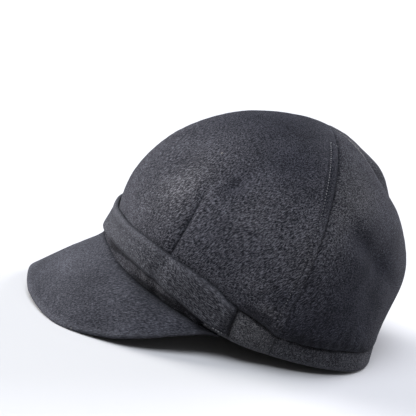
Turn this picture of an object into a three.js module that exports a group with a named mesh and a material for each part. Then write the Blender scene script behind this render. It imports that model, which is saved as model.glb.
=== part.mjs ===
import * as THREE from "three";

// Millimetres, +Z up. The peak points along +X and the wearer's left is +Y.
// The cap lies as it does on a table: on the back of its hem and on the two front corners of the peak.
// Places on the crown are given by a bearing about the apex (0 front, 90 left, 180 back)
// and by the distance along the cloth, up from the bottom edge.

const feltThick = 2.6;          // one panel of felted wool
const hemThick = 4;             // felt turned up on itself
const bandThick = 3.2;          // the folded strap
const seamGap = 0.3;            // left between neighbouring pieces
const bandGap = 0.45;           // left under the strap
const bandEndShare = 0.5;       // how thick the strap is left at its two ends
const hemFootInset = 0.6;       // the hem's fold rounds in at the foot
const footPull = 0.36;          // how far a meridian keeps its lean above the foot
const frontShift = -1.95;       // brings the middle of the whole length to x = 0

const apex = { x: -53, z: 152.3, tilt: 13.5 };
const opening = { x: -15.1, halfLength: 99.8, halfWidth: 84, napeSquare: 0.1 };

// Height of the bottom edge above the table, by the turn about the opening.
const edgeRows = [
  { at: 0, height: 44.5 },
  { at: 30, height: 38 },
  { at: 60, height: 25.8 },
  { at: 90, height: 12 },
  { at: 120, height: 4.8 },
  { at: 150, height: 0 },
  { at: 180, height: 0 },
];

// Meridians of the crown, both sides alike. foot: turn about the opening where one starts.
// x, y, z: where it stands widest. lean: outward lean at the foot, in degrees.
// rise, spread: how full it is above the widest place and towards the apex.
const meridianRows = [
  { at: 0, foot: 0, x: 79, y: 0, z: 64, lean: 0, rise: 64, spread: 61 },
  { at: 45, foot: 46, x: 54, y: 72.5, z: 56, lean: 14, rise: 52, spread: 58.5 },
  { at: 90, foot: 99.5, x: -41, y: 96.5, z: 69, lean: 16, rise: 49, spread: 57 },
  { at: 135, foot: 138.5, x: -97, y: 60.5, z: 69, lean: 6.5, rise: 48, spread: 54 },
  { at: 180, foot: 180, x: -129, y: 0, z: 60, lean: -2.5, rise: 36, spread: 25 },
];

// Fullness of the crown where it is eased onto the hem: it swells just above it and dies out upward.
const easeRows = [
  { at: 0, full: 0 },
  { at: 68, full: 0 },
  { at: 86, full: 6.4 },
  { at: 104, full: 5.1 },
  { at: 132, full: 1.9 },
  { at: 180, full: 0 },
];
const easeSwell = 5;
const easeFade = 26;

// Height of the hem strip along the cloth.
const hemRows = [
  { at: 66, tall: 24.5 },
  { at: 76, tall: 24.5 },
  { at: 84, tall: 20.5 },
  { at: 91, tall: 15.5 },
  { at: 130, tall: 15 },
  { at: 180, tall: 14 },
];
const hemRamp = { from: 66, to: 73.5 };

// The strap's two edges along the cloth.
const bandRows = [
  { at: 0, low: 4.2, high: 24.4 },
  { at: 20, low: 9, high: 29.8 },
  { at: 40, low: 15.6, high: 36.2 },
  { at: 57, low: 9.8, high: 34.5 },
  { at: 67, low: 4.8, high: 31.4 },
  { at: 75, low: 3.8, high: 26 },
];

// Soft dents (negative) and puffs in the cloth.
const dentRows = [
  { bearing: 46, along: 97, out: -1.6, wide: 9, tall: 12 },
  { bearing: 128, along: 80, out: -2.4, wide: 8, tall: 16 },
  { bearing: 146, along: 84, out: 0.9, wide: 11, tall: 22 },
  { bearing: 108, along: 55, out: 1.4, wide: 16, tall: 22 },
  { bearing: 66, along: 60, out: 1.2, wide: 14, tall: 22 },
  { bearing: -118, along: 74, out: -2, wide: 10, tall: 18 },
  { bearing: -140, along: 66, out: 1.6, wide: 14, tall: 22 },
  { bearing: -52, along: 92, out: -1.4, wide: 10, tall: 14 },
];

// Darts of the front panel: where each runs, and how deep it draws the cloth.
const dartRows = [
  { at: 0, bearing: 50 },
  { at: 36, bearing: 49.5 },
  { at: 70, bearing: 46.3 },
  { at: 100, bearing: 41 },
];
const dart = { depth: 1.2, width: 5, end: 104, fade: 34 };

// Seams draw the cloth in; low and full: where the groove starts and is deepest, topFade: where it dies out.
const backSeam = { depth: 1, width: 6, low: 10, full: 60, topFade: 34 };
const sideSeam = { depth: 1.1, width: 6, low: 12, full: 40, topFade: 30 };
const raisedEdge = { height: 0.9, width: 6, low: 14, full: 30, topFade: 20 };

// Outer edge of the peak, by the turn of the seam it hangs from.
const peakRows = [
  { at: 0, x: 131.6, y: 0, z: 8.3, camber: 1, thick: 4.2 },
  { at: 12, x: 126.4, y: 36.5, z: 3.8, camber: 1.4, thick: 4.2 },
  { at: 24, x: 106.8, y: 71.3, z: 0.4, camber: 3.6, thick: 4.2 },
  { at: 38, x: 75.3, y: 87.9, z: 3.3, camber: 4.4, thick: 4 },
  { at: 50, x: 52.9, y: 91.7, z: 8.2, camber: 4, thick: 3.6 },
  { at: 63, x: 25.9, y: 87.9, z: 13.8, camber: 2, thick: 2.8 },
  { at: 72, x: 12.5, y: 84.8, z: 15.8, camber: 0.6, thick: 2.2 },
  { at: 79, x: 3.2, y: 83.4, z: 15.9, camber: 0, thick: 1.6 },
];

const frontColumns = [
  0, 5, 10, 15, 20, 25, 30, 35, 39, 42, 45, 48, 51, 55, 60, 64, 66, 67, 68, 69, 70, 71, 72, 73, 74,
  76, 79, 82, 84.5, 86.5, 88.5, 90,
];
const backColumns = [
  90, 92, 95, 100, 106, 112, 118, 124, 130, 136, 142, 148, 154, 160, 165, 170, 174, 177, 180,
];
const sideHemColumns = [66.9, 67.4, 68, 69, 70, 71, 72, 73, 74, 76, 79, 82, 84.5, 86.5, 88.5, 90];
const bandColumns = [0, 5, 10, 15, 20, 25, 30, 35, 39, 42, 45, 48, 51, 55, 60, 64, 68, 71, 73, 74.4, 75];
const peakColumns = [0, 4, 8, 12, 16, 20, 24, 28, 33, 38, 44, 50, 56, 63, 68, 72, 76, 79];
const crownSteps = [
  0, 0.03, 0.06, 0.09, 0.12, 0.155, 0.19, 0.24, 0.3, 0.37, 0.44, 0.51, 0.58, 0.65, 0.72, 0.79, 0.86,
  0.92, 0.965,
];
const hemSteps = [0, 0.06, 0.3, 0.65, 1];
const bandSteps = [
  { share: 0, thick: 0.5 },
  { share: 0.05, thick: 0.92 },
  { share: 0.18, thick: 1 },
  { share: 0.36, thick: 1 },
  { share: 0.54, thick: 1 },
  { share: 0.72, thick: 0.94 },
  { share: 0.87, thick: 0.8 },
  { share: 0.96, thick: 0.6 },
  { share: 1, thick: 0.36 },
];
const peakSteps = [1, 0.84, 0.66, 0.48, 0.3, 0.14, 0];
const roundSteps = [0, 40, 75];

const wool = { roughness: 0.95, metalness: 0 };
const up = new THREE.Vector3(0, 0, 1);
const radians = THREE.MathUtils.degToRad;

const even = (value) => value;
const odd = (value) => -value;
const onward = (value, end) => 2 * end - value;

// Smooth curve through one column of a table; the two rules say how the column goes on past its ends.
function column(rows, key, startRule = even, endRule = even) {
  const last = rows.length - 1;
  const first = rows[0];
  const final = rows[last];
  const knots = rows.map((row) => ({ at: row.at, value: row[key] }));
  knots.unshift({ at: 2 * first.at - rows[1].at, value: startRule(rows[1][key], first[key]) });
  knots.push({ at: 2 * final.at - rows[last - 1].at, value: endRule(rows[last - 1][key], final[key]) });
  const slope = (k) => (knots[k + 1].value - knots[k - 1].value) / (knots[k + 1].at - knots[k - 1].at);
  return (angle) => {
    let k = 1;
    while (k < last && angle > knots[k + 1].at) k += 1;
    const span = knots[k + 1].at - knots[k].at;
    const s = THREE.MathUtils.clamp((angle - knots[k].at) / span, 0, 1);
    const rising = s * s * (3 - 2 * s);
    const leaving = s * (1 - s) * (1 - s) * span * slope(k);
    const arriving = s * s * (s - 1) * span * slope(k + 1);
    return knots[k].value * (1 - rising) + knots[k + 1].value * rising + leaving + arriving;
  };
}

const edgeHeight = column(edgeRows, "height");
const foot = column(meridianRows, "foot", odd, onward);
const widestX = column(meridianRows, "x");
const widestY = column(meridianRows, "y", odd, odd);
const widestZ = column(meridianRows, "z");
const lean = column(meridianRows, "lean");
const rise = column(meridianRows, "rise");
const spread = column(meridianRows, "spread");
const easeFull = column(easeRows, "full");
const hemTall = column(hemRows, "tall");
const bandLow = column(bandRows, "low");
const bandHigh = column(bandRows, "high");
const dartBearing = column(dartRows, "bearing", even, onward);

const apexPoint = new THREE.Vector3(apex.x + frontShift, 0, apex.z);
const apexNormal = new THREE.Vector3(-Math.sin(radians(apex.tilt)), 0, Math.cos(radians(apex.tilt)));

const bell = (distance, width) => Math.exp(-((distance / width) ** 2));
const mirrored = (point, side) => new THREE.Vector3(point.x, point.y * side, point.z);

// A bearing read on the left half, and the side that it lies on. Bearings run on past 180 both ways.
const leftBearing = (bearing) => Math.min(Math.abs(bearing), 360 - Math.abs(bearing));
const sideOf = (bearing) => (bearing > 180 || (bearing < 0 && bearing >= -180) ? -1 : 1);

function edgePoint(turn) {
  const angle = radians(turn);
  const corner = turn > 90 ? Math.sin(2 * angle) ** 2 : 0;
  const square = 1 + opening.napeSquare * corner;
  return new THREE.Vector3(
    opening.x + opening.halfLength * Math.cos(angle) * square + frontShift,
    opening.halfWidth * Math.sin(angle) * square,
    Math.max(edgeHeight(turn), 0),
  );
}

function edgeOutward(turn) {
  const angle = radians(turn);
  const ahead = Math.cos(angle) / opening.halfLength;
  const aside = Math.sin(angle) / opening.halfWidth;
  return new THREE.Vector3(ahead, aside, 0).normalize();
}

function widestPoint(bearing) {
  const at = leftBearing(bearing);
  return new THREE.Vector3(widestX(at) + frontShift, widestY(at) * sideOf(bearing), widestZ(at));
}

function arcBetween(start, startPull, endPull, end) {
  return new THREE.CubicBezierCurve3(start, start.clone().add(startPull), end.clone().add(endPull), end);
}

const meridians = new Map();

// One meridian on the left half: from the bottom edge through its widest place to the apex.
function meridian(bearing) {
  if (meridians.has(bearing)) return meridians.get(bearing);
  const turn = foot(bearing);
  const start = edgePoint(turn);
  const widest = widestPoint(bearing);
  const ring = widestPoint(bearing + 1).sub(widestPoint(bearing - 1));
  const outward = new THREE.Vector3(ring.y, -ring.x, 0).normalize();
  const upward = apexPoint.clone().sub(start);
  upward.addScaledVector(outward, -upward.dot(outward)).normalize();
  const startWay = edgeOutward(turn).multiplyScalar(Math.sin(radians(lean(bearing))));
  startWay.addScaledVector(up, Math.cos(radians(lean(bearing))));
  const topWay = new THREE.Vector3(Math.cos(radians(apex.tilt)), 0, Math.sin(radians(apex.tilt)));
  topWay.multiplyScalar(Math.cos(radians(bearing)));
  topWay.y = Math.sin(radians(bearing));
  const pull = footPull * widest.distanceTo(start);
  const path = new THREE.CurvePath();
  path.add(arcBetween(start, startWay.multiplyScalar(pull), upward.clone().multiplyScalar(-pull), widest));
  const risePull = upward.clone().multiplyScalar(rise(bearing));
  path.add(arcBetween(widest, risePull, topWay.multiplyScalar(spread(bearing)), apexPoint));
  meridians.set(bearing, path);
  return path;
}

function clothLength(bearing) {
  return meridian(leftBearing(bearing)).getLength();
}

function clothPoint(bearing, along) {
  const path = meridian(leftBearing(bearing));
  const share = THREE.MathUtils.clamp(along / path.getLength(), 0, 1);
  return mirrored(path.getPoint(share), sideOf(bearing));
}

// Direction across the meridians, towards greater bearings, with the millimetres in one degree.
function across(bearing, along) {
  const near = Math.min(along, clothLength(bearing) - 2);
  const way = clothPoint(bearing + 1, near).sub(clothPoint(bearing - 1, near));
  const perDegree = way.length() / 2;
  return { way: way.normalize(), perDegree };
}

function clothNormal(bearing, along) {
  const inside = Math.min(along, clothLength(bearing) - 2);
  const rising = clothPoint(bearing, inside + 1).sub(clothPoint(bearing, Math.max(inside - 1, 0)));
  return across(bearing, inside).way.cross(rising).normalize();
}

function hemTop(bearing) {
  const at = leftBearing(bearing);
  return hemTall(Math.max(at, hemRamp.from)) * THREE.MathUtils.smoothstep(at, hemRamp.from, hemRamp.to);
}

// Half the gap beside the hem's upper edge, measured along the meridian even where that edge climbs.
function hemClearance(bearing) {
  const at = leftBearing(bearing);
  const climb = (hemTop(at + 0.5) - hemTop(at - 0.5)) / across(at, hemTop(at)).perDegree;
  return 0.5 * seamGap * Math.hypot(1, climb);
}

// One over the length of a seam, easing to nothing at the bottom edge and at the apex.
function seamFade(seam, bearing, along) {
  const fromApex = clothLength(bearing) - along;
  const lowFade = THREE.MathUtils.smoothstep(along, seam.low, seam.full);
  return lowFade * THREE.MathUtils.smoothstep(fromApex, 0, seam.topFade);
}

// How far the finished cloth stands out from the plain meridians.
function relief(bearing, along) {
  const at = leftBearing(bearing);
  const perDegree = across(bearing, along).perDegree;
  let out = 0;
  for (const row of dentRows) {
    const aside = at * sideOf(bearing) - row.bearing;
    out += row.out * bell(aside, row.wide) * bell(along - row.along, row.tall);
  }
  const aboveHem = Math.max(along - hemTall(Math.max(at, hemRamp.from)), 0);
  out += easeFull(at) * (1 - Math.exp(-aboveHem / easeSwell)) * Math.exp(-aboveHem / easeFade);
  const dartFade = THREE.MathUtils.smoothstep(dart.end - along, 0, dart.fade);
  out -= dart.depth * dartFade * bell((at - dartBearing(along)) * perDegree, dart.width);
  const fromBack = (180 - at) * perDegree;
  out -= backSeam.depth * seamFade(backSeam, bearing, along) * bell(fromBack, backSeam.width);
  const fromSide = (at - 90) * perDegree;
  out -= sideSeam.depth * seamFade(sideSeam, bearing, along) * bell(fromSide, sideSeam.width);
  return out;
}

// The doubled edge of the front panel, on top of the side seam.
function raised(bearing, along) {
  const fromSide = (90 - Math.abs(bearing)) * across(bearing, along).perDegree;
  return raisedEdge.height * seamFade(raisedEdge, bearing, along) * bell(fromSide, raisedEdge.width);
}

function skinPoint(bearing, along, offset) {
  const normal = clothNormal(bearing, along);
  return clothPoint(bearing, along).addScaledVector(normal, relief(bearing, along) + offset);
}

// Two matching grids of points become one closed body; the first grid faces out.
function closedBody(outer, inner) {
  const positions = [];
  const faces = [];
  const known = new Map();
  const indexOf = (point) => {
    const key = point.toArray().map((value) => value.toFixed(4)).join(" ");
    if (!known.has(key)) {
      known.set(key, known.size);
      positions.push(...point.toArray());
    }
    return known.get(key);
  };
  const addFace = (corners) => {
    const ids = corners.map(indexOf);
    if (new Set(ids).size === 3) faces.push(...ids);
  };
  const addQuad = (a, b, c, d) => {
    if (a.distanceTo(c) <= b.distanceTo(d)) {
      addFace([a, b, c]);
      addFace([a, c, d]);
    } else {
      addFace([a, b, d]);
      addFace([b, c, d]);
    }
  };
  const lastColumn = outer.length - 1;
  const lastRow = outer[0].length - 1;
  for (let i = 0; i < lastColumn; i += 1) {
    for (let j = 0; j < lastRow; j += 1) {
      addQuad(outer[i][j], outer[i + 1][j], outer[i + 1][j + 1], outer[i][j + 1]);
      addQuad(inner[i][j], inner[i][j + 1], inner[i + 1][j + 1], inner[i + 1][j]);
    }
    addQuad(outer[i][0], inner[i][0], inner[i + 1][0], outer[i + 1][0]);
    addQuad(outer[i][lastRow], outer[i + 1][lastRow], inner[i + 1][lastRow], inner[i][lastRow]);
  }
  for (let j = 0; j < lastRow; j += 1) {
    addQuad(outer[0][j], outer[0][j + 1], inner[0][j + 1], inner[0][j]);
    addQuad(outer[lastColumn][j], inner[lastColumn][j], inner[lastColumn][j + 1], outer[lastColumn][j + 1]);
  }
  const geometry = new THREE.BufferGeometry();
  geometry.setAttribute("position", new THREE.Float32BufferAttribute(positions, 3));
  geometry.setIndex(faces);
  geometry.computeVertexNormals();
  return geometry;
}

function piece(name, color, geometry) {
  const mesh = new THREE.Mesh(geometry, new THREE.MeshStandardMaterial({ color, ...wool }));
  mesh.name = name;
  return mesh;
}

const bothSides = (columns) => [...columns.slice(1).map((at) => -at).reverse(), ...columns];

// A step along the seam's gap at a panel's first and last column, nothing in between.
function seamInset(columns, bearing) {
  if (bearing === columns[0]) return 0.5 * seamGap;
  return bearing === columns[columns.length - 1] ? -0.5 * seamGap : 0;
}

// A crown panel between two bearings; corner is the half angle it makes at the apex.
function crownPanel(columns, extra, corner) {
  const middle = radians((columns[0] + columns[columns.length - 1]) / 2);
  const cornerGap = 0.5 * seamGap / Math.sin(radians(corner));
  const tip = new THREE.Vector3(Math.cos(middle), Math.sin(middle), 0).multiplyScalar(cornerGap);
  tip.add(apexPoint);
  const innerTip = tip.clone().addScaledVector(apexNormal, -feltThick);
  const outer = [];
  const inner = [];
  for (const bearing of columns) {
    const start = hemTop(bearing) > 0 ? hemTop(bearing) + hemClearance(bearing) : 0;
    const length = clothLength(bearing);
    const inset = seamInset(columns, bearing);
    const outerColumn = [];
    const innerColumn = [];
    for (const step of crownSteps) {
      const along = length * step + start * (1 - step) ** 4;
      const shift = across(bearing, along).way.multiplyScalar(inset);
      const outerPoint = skinPoint(bearing, along, extra(bearing, along)).add(shift);
      const innerPoint = outerPoint.clone().addScaledVector(clothNormal(bearing, along), -feltThick);
      if (along === 0) innerPoint.z = outerPoint.z;
      outerColumn.push(outerPoint);
      innerColumn.push(innerPoint);
    }
    outer.push([...outerColumn, tip]);
    inner.push([...innerColumn, innerTip]);
  }
  return closedBody(outer, inner);
}

function hemStrip(columns) {
  const outer = [];
  const inner = [];
  for (const bearing of columns) {
    const high = hemTop(bearing) - hemClearance(bearing);
    const inset = seamInset(columns, bearing);
    const outerColumn = [];
    const innerColumn = [];
    for (const step of hemSteps) {
      const along = high * step;
      const shift = across(bearing, along).way.multiplyScalar(inset);
      const outerPoint = skinPoint(bearing, along, step === 0 ? -hemFootInset : 0).add(shift);
      const innerPoint = skinPoint(bearing, along, -hemThick).add(shift);
      if (step === 0) {
        outerPoint.z = clothPoint(bearing, 0).z;
        innerPoint.z = outerPoint.z;
      }
      outerColumn.push(outerPoint);
      innerColumn.push(innerPoint);
    }
    outer.push(outerColumn);
    inner.push(innerColumn);
  }
  return closedBody(outer, inner);
}

function frontBand(columns) {
  const end = columns[columns.length - 1];
  const outer = [];
  const inner = [];
  for (const bearing of columns) {
    const at = Math.abs(bearing);
    const low = bandLow(at);
    const high = bandHigh(at);
    const endRound = at === end ? bandEndShare : 1;
    const outerColumn = [];
    const innerColumn = [];
    for (const step of bandSteps) {
      const along = low + (high - low) * step.share;
      const thick = bandThick * Math.min(endRound, step.thick);
      outerColumn.push(skinPoint(bearing, along, bandGap + thick));
      innerColumn.push(skinPoint(bearing, along, bandGap));
    }
    outer.push(outerColumn);
    inner.push(innerColumn);
  }
  return closedBody(outer, inner);
}

const peakX = column(peakRows, "x", even, onward);
const peakY = column(peakRows, "y", odd, onward);
const peakZ = column(peakRows, "z", even, onward);
const peakCamber = column(peakRows, "camber", even, onward);
const peakThick = column(peakRows, "thick", even, onward);

// The peak hangs from the bottom edge; its inner border runs in under the crown's wall.
function peak(columns) {
  const outer = [];
  const inner = [];
  for (const turn of columns) {
    const at = Math.abs(turn);
    const side = turn < 0 ? -1 : 1;
    const half = 0.5 * peakThick(at);
    const seam = edgePoint(at);
    seam.z -= seamGap;
    const tip = new THREE.Vector3(peakX(at) + frontShift, peakY(at), peakZ(at));
    const out = tip.clone().sub(seam).normalize();
    const normal = up.clone().addScaledVector(out, -out.z).normalize();
    const middle = tip.clone().addScaledVector(out, -half);
    const root = seam.clone().addScaledVector(normal, -half);
    const topColumn = [];
    const bottomColumn = [];
    for (const angle of roundSteps) {
      const ahead = half * Math.cos(radians(angle));
      const rising = half * Math.sin(radians(angle));
      topColumn.push(middle.clone().addScaledVector(out, ahead).addScaledVector(normal, rising));
      bottomColumn.push(middle.clone().addScaledVector(out, ahead).addScaledVector(normal, -rising));
    }
    for (const share of peakSteps) {
      const bulge = 4 * peakCamber(at) * share * (1 - share);
      const centre = root.clone().lerp(middle, share).addScaledVector(normal, bulge);
      topColumn.push(centre.clone().addScaledVector(normal, half));
      bottomColumn.push(centre.clone().addScaledVector(normal, -half));
    }
    const inward = edgeOutward(at).multiplyScalar(-feltThick);
    topColumn.push(topColumn[topColumn.length - 1].clone().add(inward));
    bottomColumn.push(bottomColumn[bottomColumn.length - 1].clone().add(inward));
    for (const point of bottomColumn) point.z = Math.max(point.z, 0);
    outer.push(topColumn.map((point) => mirrored(point, side)));
    inner.push(bottomColumn.map((point) => mirrored(point, side)));
  }
  return closedBody(outer, inner);
}

const mirrorColumns = (columns) => columns.map((at) => -at).reverse();
const plain = () => 0;
const backHemColumns = [...backColumns, ...mirrorColumns(backColumns.slice(0, -1)).map((at) => at + 360)];

const cap = new THREE.Group();
cap.name = "peaked_cap";
cap.add(piece("crown_front", 0x4d4e55, crownPanel(bothSides(frontColumns), raised, 90)));
cap.add(piece("crown_back_left", 0x494a51, crownPanel(backColumns, plain, 45)));
cap.add(piece("crown_back_right", 0x494a51, crownPanel(mirrorColumns(backColumns), plain, 45)));
cap.add(piece("brim", 0x50515a, peak(bothSides(peakColumns))));
cap.add(piece("front_band", 0x4f5057, frontBand(bothSides(bandColumns))));
cap.add(piece("side_hem_left", 0x47484e, hemStrip(sideHemColumns)));
cap.add(piece("side_hem_right", 0x47484e, hemStrip(mirrorColumns(sideHemColumns))));
cap.add(piece("back_hem", 0x47484e, hemStrip(backHemColumns)));

export default cap;
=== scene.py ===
import math

import bmesh
import bpy
import numpy as np
from mathutils import Matrix, Vector, noise


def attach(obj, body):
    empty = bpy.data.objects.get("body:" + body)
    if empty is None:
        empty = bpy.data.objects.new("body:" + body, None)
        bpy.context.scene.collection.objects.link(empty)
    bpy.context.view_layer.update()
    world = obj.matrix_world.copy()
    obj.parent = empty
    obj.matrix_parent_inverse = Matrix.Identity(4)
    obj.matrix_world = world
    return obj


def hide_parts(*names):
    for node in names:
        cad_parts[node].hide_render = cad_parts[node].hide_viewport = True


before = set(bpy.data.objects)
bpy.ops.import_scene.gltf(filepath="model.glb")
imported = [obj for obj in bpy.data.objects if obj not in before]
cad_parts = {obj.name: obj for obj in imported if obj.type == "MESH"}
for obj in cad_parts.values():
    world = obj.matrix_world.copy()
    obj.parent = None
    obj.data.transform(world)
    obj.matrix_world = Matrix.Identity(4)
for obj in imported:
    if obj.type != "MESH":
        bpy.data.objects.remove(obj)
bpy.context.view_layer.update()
print("frame loaded:", len(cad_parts), "nodes")

# Tables and sizes of the cloth are millimetres, and this turns them into Blender's metres.
mm = 0.001

# The cap: +X to the front of the peak, +Y to the wearer's left. It rests on the nape and the peak's corners.
# Places on the crown: bearing about the apex (0 front, 90 left, 180 back) and mm along the cloth from
# its foot.
capForm = {
    "shift": -1.95,             # brings the middle of the length to x = 0
    "apexX": -53, "apexZ": 152.3, "apexTilt": 13.5,
    "openX": -15.1, "openLong": 99.8, "openWide": 84, "napeSquare": 0.1,
    "footPull": 0.36,
    "felt": 2.6,                # one layer
    "seamGap": 0.3, "joinGap": 0.04,
}
edgeRows = {
    "at": (0, 30, 60, 90, 120, 150, 180),
    "height": (44.5, 38, 25.8, 12, 4.8, 0, 0),
}
meridianRows = {
    "at": (0, 45, 90, 135, 180),
    "foot": (0, 46, 99.5, 138.5, 180),
    "x": (79, 54, -41, -97, -129),
    "y": (0, 72.5, 96.5, 60.5, 0),
    "z": (64, 56, 69, 69, 60),
    "lean": (0, 14, 16, 6.5, -2.5),
    "rise": (64, 52, 49, 48, 36),
    "spread": (61, 58.5, 57, 54, 25),
}


# A table with named columns.
def rowsOf(columns, rows):
    return [dict(zip(columns.split(), row)) for row in rows]


def smoothColumn(rows, key, startRule="even", endRule="even"):
    at = np.array(rows["at"], float)
    value = np.array(rows[key], float)

    def pastEnd(rule, near, end):
        return {"even": near, "odd": -near, "onward": 2 * end - near}[rule]

    knotAt = np.concatenate([[2 * at[0] - at[1]], at, [2 * at[-1] - at[-2]]])
    first = pastEnd(startRule, value[1], value[0])
    last = pastEnd(endRule, value[-2], value[-1])
    knot = np.concatenate([[first], value, [last]])
    slope = (knot[2:] - knot[:-2]) / (knotAt[2:] - knotAt[:-2])

    def read(angle):
        angle = np.asarray(angle, float)
        k = np.clip(np.searchsorted(at, angle, side="right") - 1, 0, len(at) - 2)
        span = at[k + 1] - at[k]
        s = np.clip((angle - at[k]) / span, 0, 1)
        rising = s * s * (3 - 2 * s)
        bend = s * (1 - s) ** 2 * span * slope[k] + s * s * (s - 1) * span * slope[k + 1]
        return value[k] * (1 - rising) + value[k + 1] * rising + bend

    return read


def smoothStep(value, low, high):
    s = np.clip((value - low) / (high - low), 0, 1)
    return s * s * (3 - 2 * s)


def bell(distance, width):
    return np.exp(-((distance / width) ** 2))


# How full a rounded edge is at this distance in from it, 0 to 1, and how far it lies under the full height.
def roundness(distance, radius):
    s = np.clip(distance / radius, 0, 1)
    return np.sqrt(np.maximum(1 - (1 - s) ** 2, 0))


def roundedEdge(distance, radius):
    return radius * (1 - roundness(distance, radius))


def unit(vectors):
    return vectors / np.maximum(np.linalg.norm(vectors, axis=-1, keepdims=True), 1e-9)


edgeHeight = smoothColumn(edgeRows, "height")
footTurn = smoothColumn(meridianRows, "foot", "odd", "onward")
widestX = smoothColumn(meridianRows, "x")
widestY = smoothColumn(meridianRows, "y", "odd", "odd")
widestZ = smoothColumn(meridianRows, "z")
leanOut = smoothColumn(meridianRows, "lean")
riseUp = smoothColumn(meridianRows, "rise")
spreadTop = smoothColumn(meridianRows, "spread")


def leftBearing(bearing):
    turned = np.abs(bearing)
    return np.minimum(turned, 360 - turned)


def sideOf(bearing):
    return np.where((bearing > 180) | ((bearing < 0) & (bearing >= -180)), -1.0, 1.0)


def edgePoint(turn):
    angle = np.radians(turn)
    corner = np.where(turn > 90, np.sin(2 * angle) ** 2, 0)
    square = 1 + capForm["napeSquare"] * corner
    x = capForm["openX"] + capForm["openLong"] * np.cos(angle) * square + capForm["shift"]
    y = capForm["openWide"] * np.sin(angle) * square
    return np.stack([x, y, np.maximum(edgeHeight(turn), 0)], -1)


def edgeOutward(turn):
    angle = np.radians(turn)
    ahead = np.cos(angle) / capForm["openLong"]
    aside = np.sin(angle) / capForm["openWide"]
    return unit(np.stack([ahead, aside, 0 * ahead], -1))


def widestPoint(bearing):
    at = leftBearing(bearing)
    return np.stack([widestX(at) + capForm["shift"], widestY(at) * sideOf(bearing), widestZ(at)], -1)


def bezierPoints(start, startPull, endPull, end, steps):
    t = np.linspace(0, 1, steps)[None, :, None]
    a, b, c, d = [p[:, None, :] for p in (start, start + startPull, end + endPull, end)]
    return a * (1 - t) ** 3 + 3 * b * t * (1 - t) ** 2 + 3 * c * t * t * (1 - t) + d * t ** 3


def meridianTable(step=0.25, samples=301):
    bearing = np.arange(0, 180 + step / 2, step)
    turn = footTurn(bearing)
    start = edgePoint(turn)
    widest = widestPoint(bearing)
    apex = np.array([capForm["apexX"] + capForm["shift"], 0, capForm["apexZ"]]) + 0 * start
    ring = widestPoint(bearing + 1) - widestPoint(bearing - 1)
    outward = unit(np.stack([ring[:, 1], -ring[:, 0], 0 * ring[:, 0]], -1))
    upward = apex - start
    upward = unit(upward - outward * np.sum(upward * outward, -1, keepdims=True))
    lean = np.radians(leanOut(bearing))[:, None]
    startWay = edgeOutward(turn) * np.sin(lean) + np.array([0, 0, 1]) * np.cos(lean)
    tilt = math.radians(capForm["apexTilt"])
    topWay = np.array([math.cos(tilt), 0, math.sin(tilt)]) * np.cos(np.radians(bearing))[:, None]
    topWay[:, 1] = np.sin(np.radians(bearing))
    pull = capForm["footPull"] * np.linalg.norm(widest - start, axis=1)[:, None]
    low = bezierPoints(start, startWay * pull, -upward * pull, widest, samples)
    high = bezierPoints(widest, upward * riseUp(bearing)[:, None], topWay * spreadTop(bearing)[:, None],
                        apex, samples)
    path = np.concatenate([low, high[:, 1:]], 1)
    travelled = np.linalg.norm(np.diff(path, axis=1), axis=2).cumsum(1)
    travelled = np.concatenate([np.zeros((len(bearing), 1)), travelled], 1)
    even = np.linspace(0, 1, samples)
    table = np.empty((len(bearing), samples, 3))
    for row in range(len(bearing)):
        for axis in range(3):
            table[row, :, axis] = np.interp(even * travelled[row, -1], travelled[row], path[row, :, axis])
    return step, table, travelled[:, -1]


tableStep, tablePoints, tableLengths = meridianTable()


def clothLength(bearing):
    place = leftBearing(bearing) / tableStep
    return np.interp(place, np.arange(len(tableLengths)), tableLengths)


def clothPoint(bearing, along):
    bearing, along = np.broadcast_arrays(np.asarray(bearing, float), np.asarray(along, float))
    place = np.clip(leftBearing(bearing) / tableStep, 0, len(tableLengths) - 1.001)
    share = np.clip(along / clothLength(bearing), 0, 1) * (tablePoints.shape[1] - 1)
    share = np.minimum(share, tablePoints.shape[1] - 1.001)
    i = place.astype(int)
    j = share.astype(int)
    u = (place - i)[..., None]
    v = (share - j)[..., None]
    near = tablePoints[i, j] * (1 - v) + tablePoints[i, j + 1] * v
    far = tablePoints[i + 1, j] * (1 - v) + tablePoints[i + 1, j + 1] * v
    point = near * (1 - u) + far * u
    point[..., 1] *= sideOf(bearing)
    return point


def acrossWay(bearing, along):
    near = np.minimum(along, clothLength(bearing) - 2)
    way = clothPoint(bearing + 1, near) - clothPoint(bearing - 1, near)
    return unit(way), np.linalg.norm(way, axis=-1) / 2


def clothNormal(bearing, along):
    near = np.minimum(along, clothLength(bearing) - 2)
    rising = clothPoint(bearing, near + 1) - clothPoint(bearing, np.maximum(near - 1, 0))
    return unit(np.cross(acrossWay(bearing, near)[0], rising))


print("cloth surface ready, front meridian", round(float(clothLength(0)), 1), "mm")


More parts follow.
